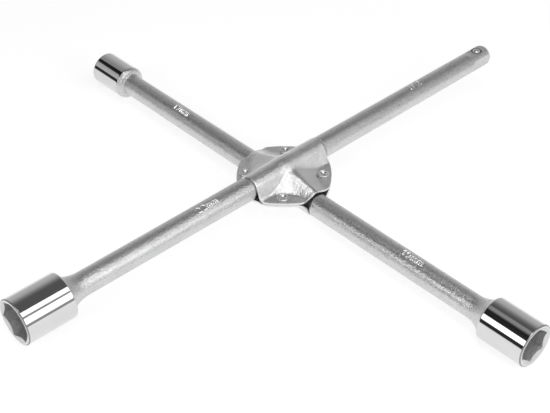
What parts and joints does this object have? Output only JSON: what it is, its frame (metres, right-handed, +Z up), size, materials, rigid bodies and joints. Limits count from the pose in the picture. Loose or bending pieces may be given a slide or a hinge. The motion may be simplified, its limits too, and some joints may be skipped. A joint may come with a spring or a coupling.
{
  "type": "lug wrench",
  "caption": "Four-way cross lug wrench: round bars held between riveted pressed plates, with hexagonal sockets and a square drive at the arm ends.",
  "frame": {"origin": "on the ground under the middle of the wrench's box, which is 3 mm and 5 mm from the point where the bars cross", "axes": "+X along the upper bar towards the square drive, +Y along the lower bar towards the smallest socket, +Z up"},
  "size_m": [0.4084, 0.3996, 0.041],
  "materials": {
    "satin_chrome": "satin chrome plating over fine-blasted steel",
    "polished_chrome": "mirror-polished chrome plating",
    "pressed_plate": "satin chrome plating on pressed steel sheet",
    "rivet_steel": "plated semi-tubular steel rivet",
    "ball_steel": "polished bearing steel",
    "spring_steel": "drawn spring wire"
  },
  "bodies": {
    "wrench": {"upper_bar": "satin_chrome", "lower_bar": "satin_chrome", "socket_22mm": "polished_chrome", "socket_19mm": "polished_chrome", "socket_17mm": "polished_chrome", "top_plate": "pressed_plate", "bottom_plate": "pressed_plate", "rivet_1": "rivet_steel", "rivet_2": "rivet_steel", "rivet_3": "rivet_steel", "rivet_4": "rivet_steel", "detent_spring": "spring_steel"},
    "ball": {"detent_ball": "ball_steel"}
  },
  "joints": [
    {"name": "ball_press", "type": "slide", "parent": "wrench", "child": "ball", "axis": [0, 0, -1], "range_m": [0, 0.0013], "stiffness_N_per_m": 4000, "springref_m": -0.0015, "deforming": ["detent_spring"]}
  ]
}
